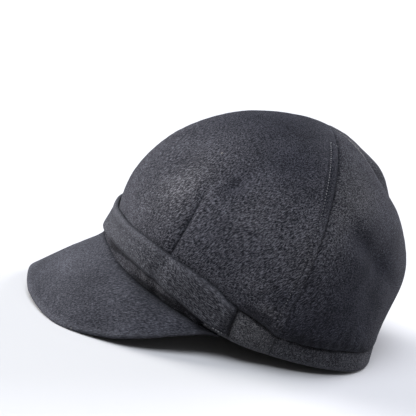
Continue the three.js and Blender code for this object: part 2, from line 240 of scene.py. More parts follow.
# Seams, dents and fullness that every piece of the crown shares.
hemRows = {
    "at": (66, 76, 84, 91, 130, 180),
    "tall": (24.5, 24.5, 20.5, 15.5, 15, 14),
}
hemRamp = (66, 73.5)            # where it grows out from under the strap
hemWander = rowsOf("high turns shift", ((0.5, 0.21, 1.1), (0.35, 0.47, 0.4), (0.2, 1.1, 0)))
easeRows = {
    "at": (0, 68, 86, 104, 132, 180),
    "full": (0, 0, 6.4, 5.1, 1.9, 0),
}
easeForm = {"swell": 5, "fade": 26, "tuck": 0.8, "tuckPitch": 10.5, "tuckReach": 11}
dentRows = rowsOf("bearing along out wide tall", (
    (46, 97, -1.6, 9, 12),
    (128, 80, -0.9, 8, 16),
    (146, 84, 0.9, 11, 22),
    (108, 55, 1.4, 16, 22),
    (66, 60, 1.2, 14, 22),
    (-118, 74, -2, 10, 18),
    (-140, 66, 1.6, 14, 22),
    (-52, 92, -1.4, 10, 14),
    (150, 110, 1.0, 16, 10),
    (146, 150, -5.0, 20, 30),
    (-162, 130, 5.1, 15, 20),
))
# Soft creases, each along a path of (bearing, along).
foldRows = rowsOf("path deep wide", (
    (((97, 104), (104, 97), (112, 90), (122, 82), (134, 73), (150, 61)), 2.5, 6.5),
    (((53, 106), (51.5, 95), (52, 86)), 1.0, 3.4),
    (((79, 21), (78, 29), (75.5, 38)), 0.9, 2.6),
    (((84.5, 20), (85, 28)), 0.7, 2.2),
    (((92, 15), (93, 26), (96, 37)), 1.1, 3),
    (((104, 15), (106, 27), (111, 38)), 0.8, 3),
    (((118, 15), (120, 26)), 0.6, 2.6),
    (((-97, 112), (-108, 96), (-119, 88)), 2.0, 6),
    (((-88, 18), (-90, 30), (-94, 41)), 1.1, 3),
    (((-101, 15), (-102, 25)), 0.8, 2.6),
    (((-80, 21), (-77, 33)), 0.9, 2.6),
))
dartRows = {"at": (0, 36, 70, 100), "bearing": (50, 49.5, 46.3, 41)}
dartForm = {
    "depth": 1.2, "width": 5, "end": 104, "fade": 34,
    "lineDepth": 0.95, "lineWidth": 0.6, "lineEnd": 92, "lineFade": 32, "lineStart": (24, 30), "pout": 0.4,
}
backSeam = {
    "depth": 0.4, "width": 6, "low": 10, "full": 60, "topFade": 34, "lineDepth": 0.48, "lineWidth": 0.9,
    "hold": 6,                  # no dent pulls the seam itself
    "sink": 2.2, "sinkAt": 138, "sinkTall": 24, "sinkWide": 9,
}
sideSeam = {"depth": 1.1, "width": 6, "backWidth": 2.4, "low": 12, "full": 40, "topFade": 30}
softForm = {"broad": 0.6, "broadSize": 34, "fine": 0.22, "fineSize": 9, "tuft": 0.12, "tuftSize": 3.4}
gatherForm = {"pitch": 6.1, "deep": 0.3, "sunk": 0.8, "from": (18, 30), "to": (74, 80)}  # under the strap

# Panels cut across the nap look a shade apart; these rows also paint light and shade where it falls on each
# panel (painted light, painted shade): log of the shade at each place.
frontNapAndPaintedShading = rowsOf("bearing along tone wide tall", (
    (25, 165, -0.68, 50, 30),
    (10, 128, -0.25, 14, 24),
    (66, 130, -0.45, 15, 19),
    (52, 96, -0.3, 6, 14),
    (37, 84, 0.3, 8, 22),
    (32, 45, 0.12, 14, 26),
    (88, 76, 0.28, 12, 24),
    (65, 86, 0.1, 8, 16),
    (83, 34, 0.4, 3.5, 4),
    (87, 46, -0.35, 4, 6),
    (76, 45, 0.15, 5, 7),
    (34, 65, 0.14, 9, 14),
    (57, 60, -0.14, 7, 13),
    (46, 6, 0.4, 8, 3.4),
))
backNapAndPaintedShading = rowsOf("bearing along tone wide tall", (
    (104, 134, 0.4, 18, 34),
    (95, 100, 0.3, 8, 30),
    (128, 46, -0.85, 26, 30),
    (138, 74, -0.3, 16, 12),
    (97, 28, -0.4, 14, 13),
    (110, 118, 0.2, 12, 14),
    (107, 95, -0.16, 8, 8),
    (116, 87, -0.32, 8, 8),
    (118, 74, -0.3, 9, 9),
))

bandRows = {
    "at": (0, 20, 40, 57, 67, 75),
    "low": (4.6, 9.6, 16.2, 10.4, 5.3, 3.9),
    "high": (24.4, 29.8, 36.2, 34.5, 31.4, 26),
}
bandEnd = 75
hemTall = smoothColumn(hemRows, "tall")
bandLow = smoothColumn(bandRows, "low")
bandHigh = smoothColumn(bandRows, "high")
easeFull = smoothColumn(easeRows, "full")
dartBearing = smoothColumn(dartRows, "bearing", "even", "onward")


def signedBearing(bearing):
    return leftBearing(bearing) * sideOf(bearing)


def hemTop(bearing):
    at = leftBearing(bearing)
    signed = signedBearing(bearing)
    wander = sum(row["high"] * np.sin(signed * row["turns"] + row["shift"]) for row in hemWander)
    wander = wander * smoothStep(at, 72, 80) * (1 - 0.6 * smoothStep(at, 100, 130))
    return (hemTall(np.maximum(at, hemRamp[0])) + wander) * smoothStep(at, *hemRamp)


def seamFade(seam, bearing, along):
    fromApex = clothLength(bearing) - along
    return smoothStep(along, seam["low"], seam["full"]) * smoothStep(fromApex, 0, seam["topFade"])


def noiseAt(points, size, seed):
    flat = points.reshape(-1, 3) / size + seed * 7.31
    values = [noise.noise(Vector(p)) for p in flat]
    return np.array(values).reshape(points.shape[:-1])


# How deep one crease is at each place: nearest point on its path, fading out at both ends.
def foldDepth(signed, along, perDegree, row):
    nearest = np.full(np.broadcast(signed, along).shape, 1e6)
    share = np.zeros(nearest.shape)
    spans = len(row["path"]) - 1
    for k in range(spans):
        (startBearing, startAlong), (endBearing, endAlong) = row["path"][k], row["path"][k + 1]
        across, up = (endBearing - startBearing) * perDegree, endAlong - startAlong
        aside, above = (signed - startBearing) * perDegree, along - startAlong
        t = np.clip((aside * across + above * up) / (across ** 2 + up ** 2), 0, 1)
        distance = np.hypot(aside - t * across, above - t * up)
        share = np.where(distance < nearest, (k + t) / spans, share)
        nearest = np.minimum(distance, nearest)
    fade = np.sin(math.pi * np.clip(share, 0.05, 0.95)) ** 0.6
    return row["deep"] * fade * bell(nearest, row["wide"])


def relief(bearing, along):
    at = leftBearing(bearing)
    signed = signedBearing(bearing)
    perDegree = acrossWay(bearing, along)[1]
    out = np.zeros(np.broadcast(bearing, along).shape)
    fromBack = (180 - at) * perDegree
    held = 1 - bell(fromBack, backSeam["hold"])
    sunk = bell(fromBack, backSeam["sinkWide"]) * bell(along - backSeam["sinkAt"], backSeam["sinkTall"])
    out = out - backSeam["sink"] * sunk
    for row in dentRows:
        aside = signed - row["bearing"]
        out = out + row["out"] * held * bell(aside, row["wide"]) * bell(along - row["along"], row["tall"])
    for row in foldRows:
        out = out - foldDepth(signed, along, perDegree, row)
    aboveHem = np.maximum(along - hemTall(np.maximum(at, hemRamp[0])), 0)
    full = easeFull(at)
    out = out + full * (1 - np.exp(-aboveHem / easeForm["swell"])) * np.exp(-aboveHem / easeForm["fade"])
    dartFade = smoothStep(dartForm["end"] - along, 0, dartForm["fade"])
    fromDart = (at - dartBearing(along)) * perDegree
    out = out - dartForm["depth"] * dartFade * bell(fromDart, dartForm["width"])
    out = out - backSeam["depth"] * seamFade(backSeam, bearing, along) * bell(fromBack, backSeam["width"])
    fromSide = (at - 90) * perDegree
    width = np.where(fromSide > 0, sideSeam["backWidth"], sideSeam["width"])
    return out - sideSeam["depth"] * seamFade(sideSeam, bearing, along) * bell(fromSide, width)


def toneAt(rows, bearing, along):
    at = leftBearing(bearing)
    total = np.zeros(np.broadcast(bearing, along).shape)
    for row in rows:
        spot = bell(at - row["bearing"], row["wide"]) * bell(along - row["along"], row["tall"])
        total = total + row["tone"] * spot
    return np.exp(total)


def dartLine(along):
    closing = smoothStep(dartForm["lineEnd"] - along, 0, dartForm["lineFade"])
    return closing * smoothStep(along, *dartForm["lineStart"])


# Nap covers a stitched line unevenly.
def brokenLine(base, strength, ragged=0.45):
    cover = noiseAt(base, 2.1, 21) + 0.8 * noiseAt(base, 7, 22)
    return np.clip(strength * (0.85 + ragged * cover), 0, 1)


# The crown tucks in under the hem's folded edge, deepest where it is eased in.
def hemGroove(bearing, along):
    full = np.minimum(easeFull(leftBearing(bearing)) / 5, 1)
    high = hemTop(bearing)
    radius = 1.4 + 1.3 * full
    groove = (0.9 + 1.1 * full) * (1 - roundness(along - high, radius))
    return np.where(high > 0, groove, 0)


# Painted shade, with flattened nap, on the crown beside and under the strap, over the peak's root, and above
# the hem under the crown's puff.
paintedShadeForm = {
    "ragged": 0.5,
    "beside": 2.4,              # above the strap
    "broad": 14, "broadMost": 0.62,
    "lip": 5.7, "lipLess": 2.8,  # how far down the strap hides the crown
    "root": 2.4, "rootMore": 2.8,  # how far up the peak does
    "puff": 7.0, "hem": 1.8, "hemMore": 2.4,
}


def paintedShadeAndFlatNap(bearing, along):
    at = leftBearing(bearing)
    above = along - bandHigh(at)
    # Painted shade on the crown just above the strap.
    beside = bell(np.maximum(above, 0), paintedShadeForm["beside"]) * (above > -3)
    beside = beside * (0.2 + 0.5 * smoothStep(at, 48, 66))
    # Painted shade on the crown's strip below the strap, a painted shadow line under its edge, and a dark
    # seam line with painted shade over the peak's root.
    under = bandLow(at) - along
    broad = paintedShadeForm["broadMost"] * smoothStep(at, 46, 61) * bell(np.maximum(under, 0), paintedShadeForm["broad"])
    lip = paintedShadeForm["lip"] - paintedShadeForm["lipLess"] * smoothStep(at, 40, 66)
    line = bell(np.maximum(under - lip, 0), 0.7 + 1.5 * smoothStep(at, 52, 62))
    line = 1.6 * line * smoothStep(at, 10, 20)
    root = np.maximum(along - paintedShadeForm["root"] - paintedShadeForm["rootMore"] * smoothStep(at, 48, 58), 0)
    root = 1.3 * bell(root, 0.7) * smoothStep(at, 34, 44) * (1 - smoothStep(at, 60, 66))
    below = np.maximum(np.maximum(broad, line), root) * (under > -2)
    strap = np.maximum(beside, below) * (at < bandEnd + 1.5)
    # Painted shade above the hem, under the crown's puff.
    full = np.minimum(easeFull(at) / 5, 1)
    high = hemTop(bearing)
    overHem = np.maximum(along - high - paintedShadeForm["puff"] * full, 0)
    hem = bell(overHem, paintedShadeForm["hem"] + paintedShadeForm["hemMore"] * full) * (0.55 + 0.2 * full)
    return np.maximum(strap, np.where(high > 0, hem, 0))


# What the cloth does between the main dents: soft unevenness, the dart's line, small tucks at the hem.
def fineRelief(bearing, along, base):
    at = leftBearing(bearing)
    perDegree = acrossWay(bearing, along)[1]
    calm = smoothStep(along, 2, 20)
    out = softForm["broad"] * noiseAt(base, softForm["broadSize"], 1) * calm
    out = out + softForm["fine"] * noiseAt(base, softForm["fineSize"], 2)
    out = out + softForm["tuft"] * noiseAt(base, softForm["tuftSize"], 12)
    fromDart = (at - dartBearing(along)) * perDegree
    out = out - dartForm["lineDepth"] * dartLine(along) * bell(fromDart, dartForm["lineWidth"])
    out = out + dartForm["pout"] * dartLine(along) * bell(np.abs(fromDart) - 3.2, 2)
    strip = smoothStep(at, *gatherForm["from"]) * (1 - smoothStep(at, *gatherForm["to"]))
    strip = strip * (1 - smoothStep(along - bandLow(at), -1.5, 1.5))
    gather = np.sin(2 * math.pi * signedBearing(bearing) / gatherForm["pitch"] + 3 * noiseAt(base, 22, 15))
    out = out + strip * (gatherForm["deep"] * gather - gatherForm["sunk"]) * smoothStep(along, 0, 4)
    aboveHem = np.maximum(along - hemTall(np.maximum(at, hemRamp[0])), 0)
    tuckShare = np.minimum(easeFull(at) / 4, 1) * np.exp(-aboveHem / easeForm["tuckReach"])
    phase = 2 * math.pi * at * 1.83 / easeForm["tuckPitch"] + 2.6 * noiseAt(base, 30, 5)
    return out + easeForm["tuck"] * tuckShare * np.sin(phase) * smoothStep(aboveHem, 0, 4)


def skinPoint(bearing, along, offset):
    normal = clothNormal(bearing, along)
    return clothPoint(bearing, along) + normal * (relief(bearing, along) + offset)[..., None]


def addObject(name, data):
    made = bpy.data.objects.new(name, data)
    bpy.context.scene.collection.objects.link(made)
    return made


# Masks are one value a vertex: seam (dark seam lines, flattened nap and painted shade), edge (worn edges and
# painted highlight), tone (nap shade with painted light and painted shade).
def finishMesh(name, vertices, faces, masks, material, node):
    mesh = bpy.data.meshes.new(name)
    mesh.from_pydata([tuple(p) for p in vertices * mm], [], faces)
    for key, values in {"tone": np.ones(len(vertices)), **masks}.items():
        layer = mesh.attributes.new(key, "FLOAT", "POINT")
        layer.data.foreach_set("value", np.asarray(values, np.float32))
    work = bmesh.new()
    work.from_mesh(mesh)
    bmesh.ops.remove_doubles(work, verts=work.verts, dist=2e-6)
    bmesh.ops.dissolve_degenerate(work, edges=work.edges, dist=1e-7)
    work.to_mesh(mesh)
    work.free()
    mesh.polygons.foreach_set("use_smooth", [True] * len(mesh.polygons))
    mesh.materials.append(material)
    piece = addObject(name, mesh)
    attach(piece, "root")
    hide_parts(node)
    print("  ", name, len(mesh.polygons), "faces")


def everySecond(count):
    return sorted({*range(0, count, 2), count - 1})


def quadFaces(*corners):
    return np.stack(corners, -1).reshape(-1, 4).tolist()


# The rim between a fine border and the thinned border under it, as fans of triangles.
def rimFaces(fine, thin, kept, turned):
    fine, thin = fine.tolist(), thin.tolist()
    faces = []
    for k in range(len(kept) - 1):
        first, last = kept[k], kept[k + 1]
        middle = first + 1
        faces.append([fine[first], thin[k], fine[middle]])
        faces.append([fine[middle], thin[k], thin[k + 1]])
        if middle != last:
            faces.append([fine[middle], thin[k + 1], fine[last]])
    return [f[::-1] for f in faces] if turned else faces


# A closed wall from two grids (columns, rows, 3). The first faces out, and the hidden one is thinned.
def wallBody(name, outer, inner, masks, material, node):
    columns, rows = outer.shape[:2]
    keptColumns, keptRows = everySecond(columns), everySecond(rows)
    inner = inner[np.ix_(keptColumns, keptRows)]
    index = np.arange(columns * rows).reshape(columns, rows)
    under = index.size + np.arange(len(keptColumns) * len(keptRows)).reshape(inner.shape[:2])
    faces = quadFaces(index[:-1, :-1], index[1:, :-1], index[1:, 1:], index[:-1, 1:])
    faces += quadFaces(under[:-1, :-1], under[:-1, 1:], under[1:, 1:], under[1:, :-1])
    faces += rimFaces(index[:, 0], under[:, 0], keptColumns, False)
    faces += rimFaces(index[:, -1], under[:, -1], keptColumns, True)
    faces += rimFaces(index[0], under[0], keptRows, True)
    faces += rimFaces(index[-1], under[-1], keptRows, False)
    vertices = np.concatenate([outer.reshape(-1, 3), inner.reshape(-1, 3)])
    hidden = {"seam": 0.0, "edge": 0.0, "tone": 1.0}
    both = {key: np.append(value.ravel(), np.full(under.size, hidden[key])) for key, value in masks.items()}
    finishMesh(name, vertices, faces, both, material, node)


# A closed loop of points swept from column to column (columns, loop, 3), with both ends filled.
def sweptBody(name, loops, masks, material, node, turned=False):
    if turned:
        loops = loops[:, ::-1]
        masks = {key: value[:, ::-1] for key, value in masks.items()}
    columns, rows = loops.shape[:2]
    index = np.arange(columns * rows).reshape(columns, rows)
    onward = np.roll(index, -1, axis=1)
    faces = quadFaces(index[:-1], index[1:], onward[1:], onward[:-1])
    faces.append(index[0].tolist())
    faces.append(index[-1][::-1].tolist())
    flat = {key: value.ravel() for key, value in masks.items()}
    finishMesh(name, loops.reshape(-1, 3), faces, flat, material, node)


# A node with its settings, and its inputs given as values or as sockets to link.
def addNode(tree, kind, inputs=None, **settings):
    made = tree.nodes.new(kind)
    for key, value in settings.items():
        setattr(made, key, value)
    for key, value in (inputs or {}).items():
        if isinstance(value, bpy.types.NodeSocket):
            tree.links.new(value, made.inputs[key])
        else:
            made.inputs[key].default_value = value
    return made


def mathNode(tree, operation, *values, clamp=False):
    made = addNode(tree, "ShaderNodeMath", dict(enumerate(values)), operation=operation, use_clamp=clamp)
    return made.outputs[0]


def noiseNode(tree, vector, scale, detail, roughness=0.55, distortion=0.0):
    inputs = {"Vector": vector, "Scale": scale, "Detail": detail, "Roughness": roughness}
    return addNode(tree, "ShaderNodeTexNoise", {**inputs, "Distortion": distortion}).outputs["Fac"]


def mixNode(tree, factor, first, second):
    inputs = {"Factor": factor, "A": first, "B": second}
    return addNode(tree, "ShaderNodeMix", inputs, data_type="RGBA").outputs["Result"]


def newGroup(name, inputs, outputs, kind="ShaderNodeTree"):
    group = bpy.data.node_groups.new(name, kind)
    for label, socketKind, value in inputs:
        socket = group.interface.new_socket(label, in_out="INPUT", socket_type="NodeSocket" + socketKind)
        if value is not None:
            socket.default_value = value
    for label, socketKind in outputs:
        group.interface.new_socket(label, in_out="OUTPUT", socket_type="NodeSocket" + socketKind)
    return group, group.nodes.new("NodeGroupInput").outputs, group.nodes.new("NodeGroupOutput").inputs


# The nap's layers from tufts to single hairs: share of its height, and scale against the tufts'.
napLayers = rowsOf("share scale detail roughness distortion laid", (
    (0.58, 1.0, 2, 0.5, 0.3, True),
    (0.06, 0.36, 3, 0.62, 0.5, False),
    (0.28, 2.3, 2, 0.55, 0.2, True),
    (0.05, 3.4, 2, 0.6, 0.0, False),
))
napForm = {
    "across": 1.1, "broadScale": 0.022, "gamma": 1.8, "roughLess": 0.16,
    "lintScale": 95.0, "lintSize": 0.075, "lintRare": 0.955, "lintShow": 0.6,
    "lintColor": (0.2, 0.19, 0.17, 1),
}


# Felted nap: small tufts that lie one way, clumps, broad unevenness and a little lint.
def makeNapGroup():
    group, given, result = newGroup("feltNap", [
        ("Vector", "Vector", None),
        ("Tuft Scale", "Float", 560.0),
        ("Contrast", "Float", 1.5),
        ("Patchiness", "Float", 0.5),
        ("Lint", "Float", 1.0),
        ("Lay Angle", "Float", -0.5),
        ("Lay Length", "Float", 2.5),
        ("Dark", "Color", (0.03, 0.031, 0.037, 1)),
        ("Light", "Color", (0.12, 0.12, 0.135, 1)),
    ], [("Color", "Color"), ("Roughness", "Float"), ("Height", "Float")])
    place, tuftScale = given["Vector"], given["Tuft Scale"]
    turned = addNode(group, "ShaderNodeCombineXYZ", {"Y": given["Lay Angle"]}).outputs[0]
    drawn = {"X": 1.0, "Y": napForm["across"], "Z": given["Lay Length"]}
    drawn = addNode(group, "ShaderNodeCombineXYZ", drawn).outputs[0]
    laid = {"Vector": place, "Rotation": turned, "Scale": drawn}
    laid = addNode(group, "ShaderNodeMapping", laid, vector_type="TEXTURE").outputs[0]
    height = 0.0
    for layer in napLayers:
        grain = noiseNode(group, laid if layer["laid"] else place,
                          mathNode(group, "MULTIPLY", tuftScale, layer["scale"]),
                          layer["detail"], layer["roughness"], layer["distortion"])
        height = mathNode(group, "MULTIPLY_ADD", grain, layer["share"], height)
    broad = noiseNode(group, place, mathNode(group, "MULTIPLY", tuftScale, napForm["broadScale"]), 3)
    spread = mathNode(group, "MULTIPLY", mathNode(group, "SUBTRACT", height, 0.5), given["Contrast"])
    patch = mathNode(group, "MULTIPLY", mathNode(group, "SUBTRACT", broad, 0.5), given["Patchiness"])
    shade = mathNode(group, "ADD", mathNode(group, "ADD", spread, 0.5), patch, clamp=True)
    shade = mathNode(group, "POWER", shade, napForm["gamma"])
    blend = mixNode(group, shade, given["Dark"], given["Light"])
    specks = addNode(group, "ShaderNodeTexVoronoi", {"Vector": place, "Scale": napForm["lintScale"]}).outputs
    chance = addNode(group, "ShaderNodeSeparateColor", {"Color": specks["Color"]}).outputs["Red"]
    lint = mathNode(group, "MULTIPLY", mathNode(group, "LESS_THAN", specks["Distance"], napForm["lintSize"]),
                    mathNode(group, "GREATER_THAN", chance, napForm["lintRare"]))
    lint = mathNode(group, "MULTIPLY", mathNode(group, "MULTIPLY", lint, given["Lint"]), napForm["lintShow"])
    rough = mathNode(group, "SUBTRACT", 1.0, mathNode(group, "MULTIPLY", height, napForm["roughLess"]))
    group.links.new(mixNode(group, lint, blend, napForm["lintColor"]), result["Color"])
    group.links.new(rough, result["Roughness"])
    group.links.new(height, result["Height"])
    return group


seamForm = {
    "tint": {"X": 1.12, "Y": 1.08, "Z": 0.9},  # darker tone comes out bluer: painted shade bluer, painted light warmer
    # dark is the colour of seam lines and painted shade; the lighter colour is for worn edges and painted
    # highlights.
    "dark": (0.003, 0.003, 0.004, 1), "wearAndHighlight": (0.11, 0.11, 0.125, 1), "flat": 0.6,
}


# Seams hold shadow and flattened nap, and the seam mask also paints shade beside and under parts; folded
# edges are worn lighter, and the edge mask also paints highlights on lit edges.
def makeSeamGroup():
    group, given, result = newGroup("seamShade", [
        ("Color", "Color", (0.1, 0.1, 0.1, 1)),
        ("Height", "Float", 0.5),
        ("Seam", "Float", 0.0),
        ("Edge", "Float", 0.0),
        ("Tone", "Float", 1.0),
        ("Seam Dark", "Float", 0.84),
        ("Edge Light", "Float", 0.35),
    ], [("Color", "Color"), ("Height", "Float")])
    tint = {axis: mathNode(group, "POWER", given["Tone"], power) for axis, power in seamForm["tint"].items()}
    tint = addNode(group, "ShaderNodeCombineXYZ", tint).outputs[0]
    toned = addNode(group, "ShaderNodeVectorMath", {0: given["Color"], 1: tint}, operation="MULTIPLY")
    dark = mathNode(group, "MULTIPLY", given["Seam"], given["Seam Dark"], clamp=True)
    darker = mixNode(group, dark, toned.outputs["Vector"], seamForm["dark"])
    wearAndHighlight = mathNode(group, "MULTIPLY", given["Edge"], given["Height"])
    wearAndHighlight = mathNode(group, "MULTIPLY", wearAndHighlight, given["Edge Light"], clamp=True)
    flat = mathNode(group, "SUBTRACT", 1.0, mathNode(group, "MULTIPLY", given["Seam"], seamForm["flat"]))
    group.links.new(mixNode(group, wearAndHighlight, darker, seamForm["wearAndHighlight"]), result["Color"])
    group.links.new(mathNode(group, "MULTIPLY", given["Height"], flat), result["Height"])
    return group


napGroup = makeNapGroup()
seamGroup = makeSeamGroup()


def newMaterial(name):
    material = bpy.data.materials.new(name)
    material.use_nodes = True
    tree = material.node_tree
    place = addNode(tree, "ShaderNodeTexCoord").outputs["Object"]
    return material, tree, tree.nodes["Principled BSDF"], place


def feltMaterial(name, felt):
    material, tree, shader, place = newMaterial(name)
    shader.inputs["Specular IOR Level"].default_value = 0.06
    shader.inputs["Sheen Weight"].default_value = felt["sheen"]
    shader.inputs["Sheen Roughness"].default_value = 0.45
    shader.inputs["Sheen Tint"].default_value = (0.78, 0.84, 1.0, 1)
    nap = addNode(tree, "ShaderNodeGroup", {
        "Vector": place, "Tuft Scale": felt["tufts"], "Contrast": felt["contrast"],
        "Patchiness": felt["patches"], "Lint": felt["lint"],
        "Lay Angle": math.radians(felt["lay"]), "Lay Length": felt["stretch"],
        "Dark": (*felt["dark"], 1), "Light": (*felt["light"], 1),
    }, node_tree=napGroup).outputs
    masks = {label: addNode(tree, "ShaderNodeAttribute", attribute_name=label.lower()).outputs["Fac"]
             for label in ("Seam", "Edge", "Tone")}
    shaded = {"Color": nap["Color"], "Height": nap["Height"], "Edge Light": felt["edgeLight"], **masks}
    seams = addNode(tree, "ShaderNodeGroup", shaded, node_tree=seamGroup).outputs
    bump = {"Strength": felt["bump"], "Distance": 0.002, "Height": seams["Height"]}
    bump = addNode(tree, "ShaderNodeBump", bump)
    tree.links.new(seams["Color"], shader.inputs["Base Color"])
    tree.links.new(nap["Roughness"], shader.inputs["Roughness"])
    tree.links.new(bump.outputs["Normal"], shader.inputs["Normal"])
    return material


crownWool = feltMaterial("crownWool", {
    "tufts": 2150, "contrast": 5.1, "patches": 0.5, "lint": 1, "lay": -46, "stretch": 4.6,
    "sheen": 0.035, "bump": 1.0, "edgeLight": 1.0,
    "dark": (0.0066, 0.0066, 0.0088), "light": (0.119, 0.1185, 0.1385),
})
brimWool = feltMaterial("brimWool", {
    "tufts": 1450, "contrast": 3.0, "patches": 0.7, "lint": 0.6, "lay": 96, "stretch": 3,
    "sheen": 0.05, "bump": 0.8, "edgeLight": 0.35,
    "dark": (0.013, 0.0133, 0.0168), "light": (0.0995, 0.1005, 0.1185),
})
bandWool = feltMaterial("bandWool", {
    "tufts": 1700, "contrast": 4.3, "patches": 0.4, "lint": 1, "lay": 62, "stretch": 4.4,
    "sheen": 0.05, "bump": 1.0, "edgeLight": 0.5,
    "dark": (0.008, 0.008, 0.0104), "light": (0.146, 0.146, 0.163),
})
hemWool = feltMaterial("hemWool", {
    "tufts": 1900, "contrast": 3.9, "patches": 0.6, "lint": 0.5, "lay": -30, "stretch": 2.4,
    "sheen": 0.04, "bump": 1.0, "edgeLight": 0.5,
    "dark": (0.0065, 0.0066, 0.0082), "light": (0.142, 0.142, 0.158),
})
print("felt materials ready")


# Crown panels.
crownFront = {
    "cell": 1.3,                # between rows
    "rowsTo": 205,              # the cloth's length that the rows are spaced for
    "columns": (44, 26),        # from the middle to the dart, and on to the side seam
    "edgeZone": (14, 24),       # width of its finer columns, and the most degrees that may take
    "dartZone": (8, 9),
    "edgeRound": 1.5,           # the folded edge on the side seam
    "raised": 1.0,              # how proud the doubled edge stands
    "lineFrom": (60, 118),      # the seam's dark line grows upwards
    "raisedFrom": (18, 95),     # it grows from the hem up
    "raisedFlat": 6.4, "raisedEnd": 11.5,
    "stitchIn": 5.5,            # topstitch, from the folded edge
    "stitchLow": 14, "stitchTop": 166,
    "stitchDepth": 0.6, "stitchWidth": 0.9,
}
crownBack = {
    "rowsTo": 198, "columns": 76,
    "sideZone": (9, 20), "backZone": (8, 18),
    "upper": (80, 112),         # where the near panel's edge starts to stand over the far one
    # lineLight paints a highlight on the near panel's ridge; farShade and farLight paint shade, then light,
    # on the far panel beyond it.
    "ridge": 2.2, "lineLight": 1.9, "farShade": 0.4, "farLight": 0.55,
}
# Columns gather towards a seam or a line.
seamStops = np.array([0, 0.02, 0.05, 0.09, 0.14, 0.2, 0.28, 0.34, 0.385, 0.43, 0.49, 0.57, 0.68, 0.8, 0.9])
lineStops = np.array([0, 0.05, 0.1, 0.16, 0.24, 0.36, 0.5, 0.66, 0.83])


def columnsBetween(knots, stops):
    parts = []
    for k, stop in enumerate(stops):
        low, high = knots[:, k:k + 1], knots[:, k + 1:k + 2]
        parts.append(low + stop[None, :] * (high - low))
    parts.append(knots[:, -1:])
    return np.concatenate(parts, 1)


def evenStops(count):
    return np.arange(count) / count


def towards(stops):
    return np.concatenate([[0], 1 - stops[:0:-1]])


def rowSteps(cell, longest):
    start = np.array([0, 0.35, 0.8, 1.4, 2.2, 3.2, 4.4])
    rest = np.arange(start[-1] + 1.4, longest, cell)
    steps = np.concatenate([start, rest]) / longest
    return np.concatenate([steps[steps < 1 - 0.6 * cell / longest], [1]])


def zoneDegrees(bearing, along, zone):
    wide, most = zone
    return np.minimum(wide / np.maximum(acrossWay(bearing + 0 * along, along)[1], 1e-3), most)


def frontHalfColumns(steps):
    along = crownFront["rowsTo"] * steps
    dart = dartBearing(along)
    dartZone = zoneDegrees(dart, along, crownFront["dartZone"])
    edgeZone = zoneDegrees(90, along, crownFront["edgeZone"])
    knots = np.stack([0 * along, dart - dartZone, dart, dart + dartZone, 90 - edgeZone, 90 + 0 * along], 1)
    toDart, toSeam = crownFront["columns"]
    stops = [evenStops(toDart), towards(lineStops), lineStops, evenStops(toSeam), towards(seamStops)]
    return columnsBetween(knots, stops)


def backColumns(steps):
    along = crownBack["rowsTo"] * steps
    sideZone = zoneDegrees(90, along, crownBack["sideZone"])
    backZone = zoneDegrees(180, along, crownBack["backZone"])
    knots = np.stack([90 + 0 * along, 90 + sideZone, 180 - backZone, 180 + 0 * along], 1)
    return columnsBetween(knots, [lineStops, evenStops(crownBack["columns"]), towards(lineStops)])


# The doubled edge: rounded fold, flat strip, topstitched channel and the slope behind it.
def raisedSkin(bearing, along):
    fromEdge = (90 - np.abs(bearing)) * acrossWay(bearing, along)[1]
    fromTop = crownFront["stitchTop"] + crownFront["stitchIn"] - along
    strip = 1 - smoothStep(fromEdge, crownFront["raisedFlat"], crownFront["raisedEnd"])
    fade = smoothStep(along, *crownFront["raisedFrom"]) * smoothStep(fromTop, -1.5, 4)
    height = crownFront["raised"] * strip * fade
    channel = bell(fromEdge - crownFront["stitchIn"], crownFront["stitchWidth"])
    channel = channel * smoothStep(along, crownFront["stitchLow"], crownFront["stitchLow"] + 8)
    channel = channel * (along < crownFront["stitchTop"] + 0.8)
    corner = bell(along - crownFront["stitchTop"], crownFront["stitchWidth"])
    corner = corner * (fromEdge < crownFront["stitchIn"] + 0.5)
    channel = np.maximum(channel, corner)
    seamLine = roundedEdge(fromEdge, crownFront["edgeRound"])
    seamLine = seamLine * (0.2 + 0.8 * smoothStep(along, *crownFront["lineFrom"]))
    seamLine = seamLine * (0.25 + 0.75 * smoothStep(fromTop, -4, 3))
    return height - crownFront["stitchDepth"] * channel - seamLine, channel


def panelGrid(bearing, steps):
    hem = hemTop(bearing)
    start = np.where(hem > 0, hem + 0.5 * capForm["seamGap"], 0)
    return clothLength(bearing) * steps[:, None] + start * (1 - steps[:, None]) ** 4


def wallGrid(bearing, along, offset, inset):
    base = clothPoint(bearing, along)
    normal = clothNormal(bearing, along)
    way = acrossWay(bearing, along)[0]
    lift = relief(bearing, along) + fineRelief(bearing, along, base) + offset
    outer = base + normal * lift[..., None] + way * inset[..., None]
    plainLift = relief(bearing, along) - capForm["felt"]
    inner = base + normal * plainLift[..., None] + way * inset[..., None]
    foot = along <= 0
    inner[..., 2] = np.where(foot, outer[..., 2], inner[..., 2])
    return outer, inner


def closeApex(outer, inner, middle, corner):
    gap = 0.5 * capForm["seamGap"] / math.sin(math.radians(corner))
    angle = math.radians(middle)
    tip = np.array([capForm["apexX"] + capForm["shift"], 0, capForm["apexZ"]])
    tip = tip + gap * np.array([math.cos(angle), math.sin(angle), 0])
    tilt = math.radians(capForm["apexTilt"])
    outer[:, -1] = tip
    inner[:, -1] = tip - capForm["felt"] * np.array([-math.sin(tilt), 0, math.cos(tilt)])


def endInset(bearing, first, last):
    half = 0.5 * capForm["joinGap"]
    return np.where(bearing <= first, half, 0) - np.where(bearing >= last, half, 0)


# Grids are made row by row, and a wall takes them column by column.
def panelBody(name, outer, inner, masks, middle, corner, node):
    outer, inner = outer.swapaxes(0, 1).copy(), inner.swapaxes(0, 1).copy()
    closeApex(outer, inner, middle, corner)
    masks = {key: value.swapaxes(0, 1) for key, value in masks.items()}
    wallBody(name, outer, inner, masks, crownWool, node)


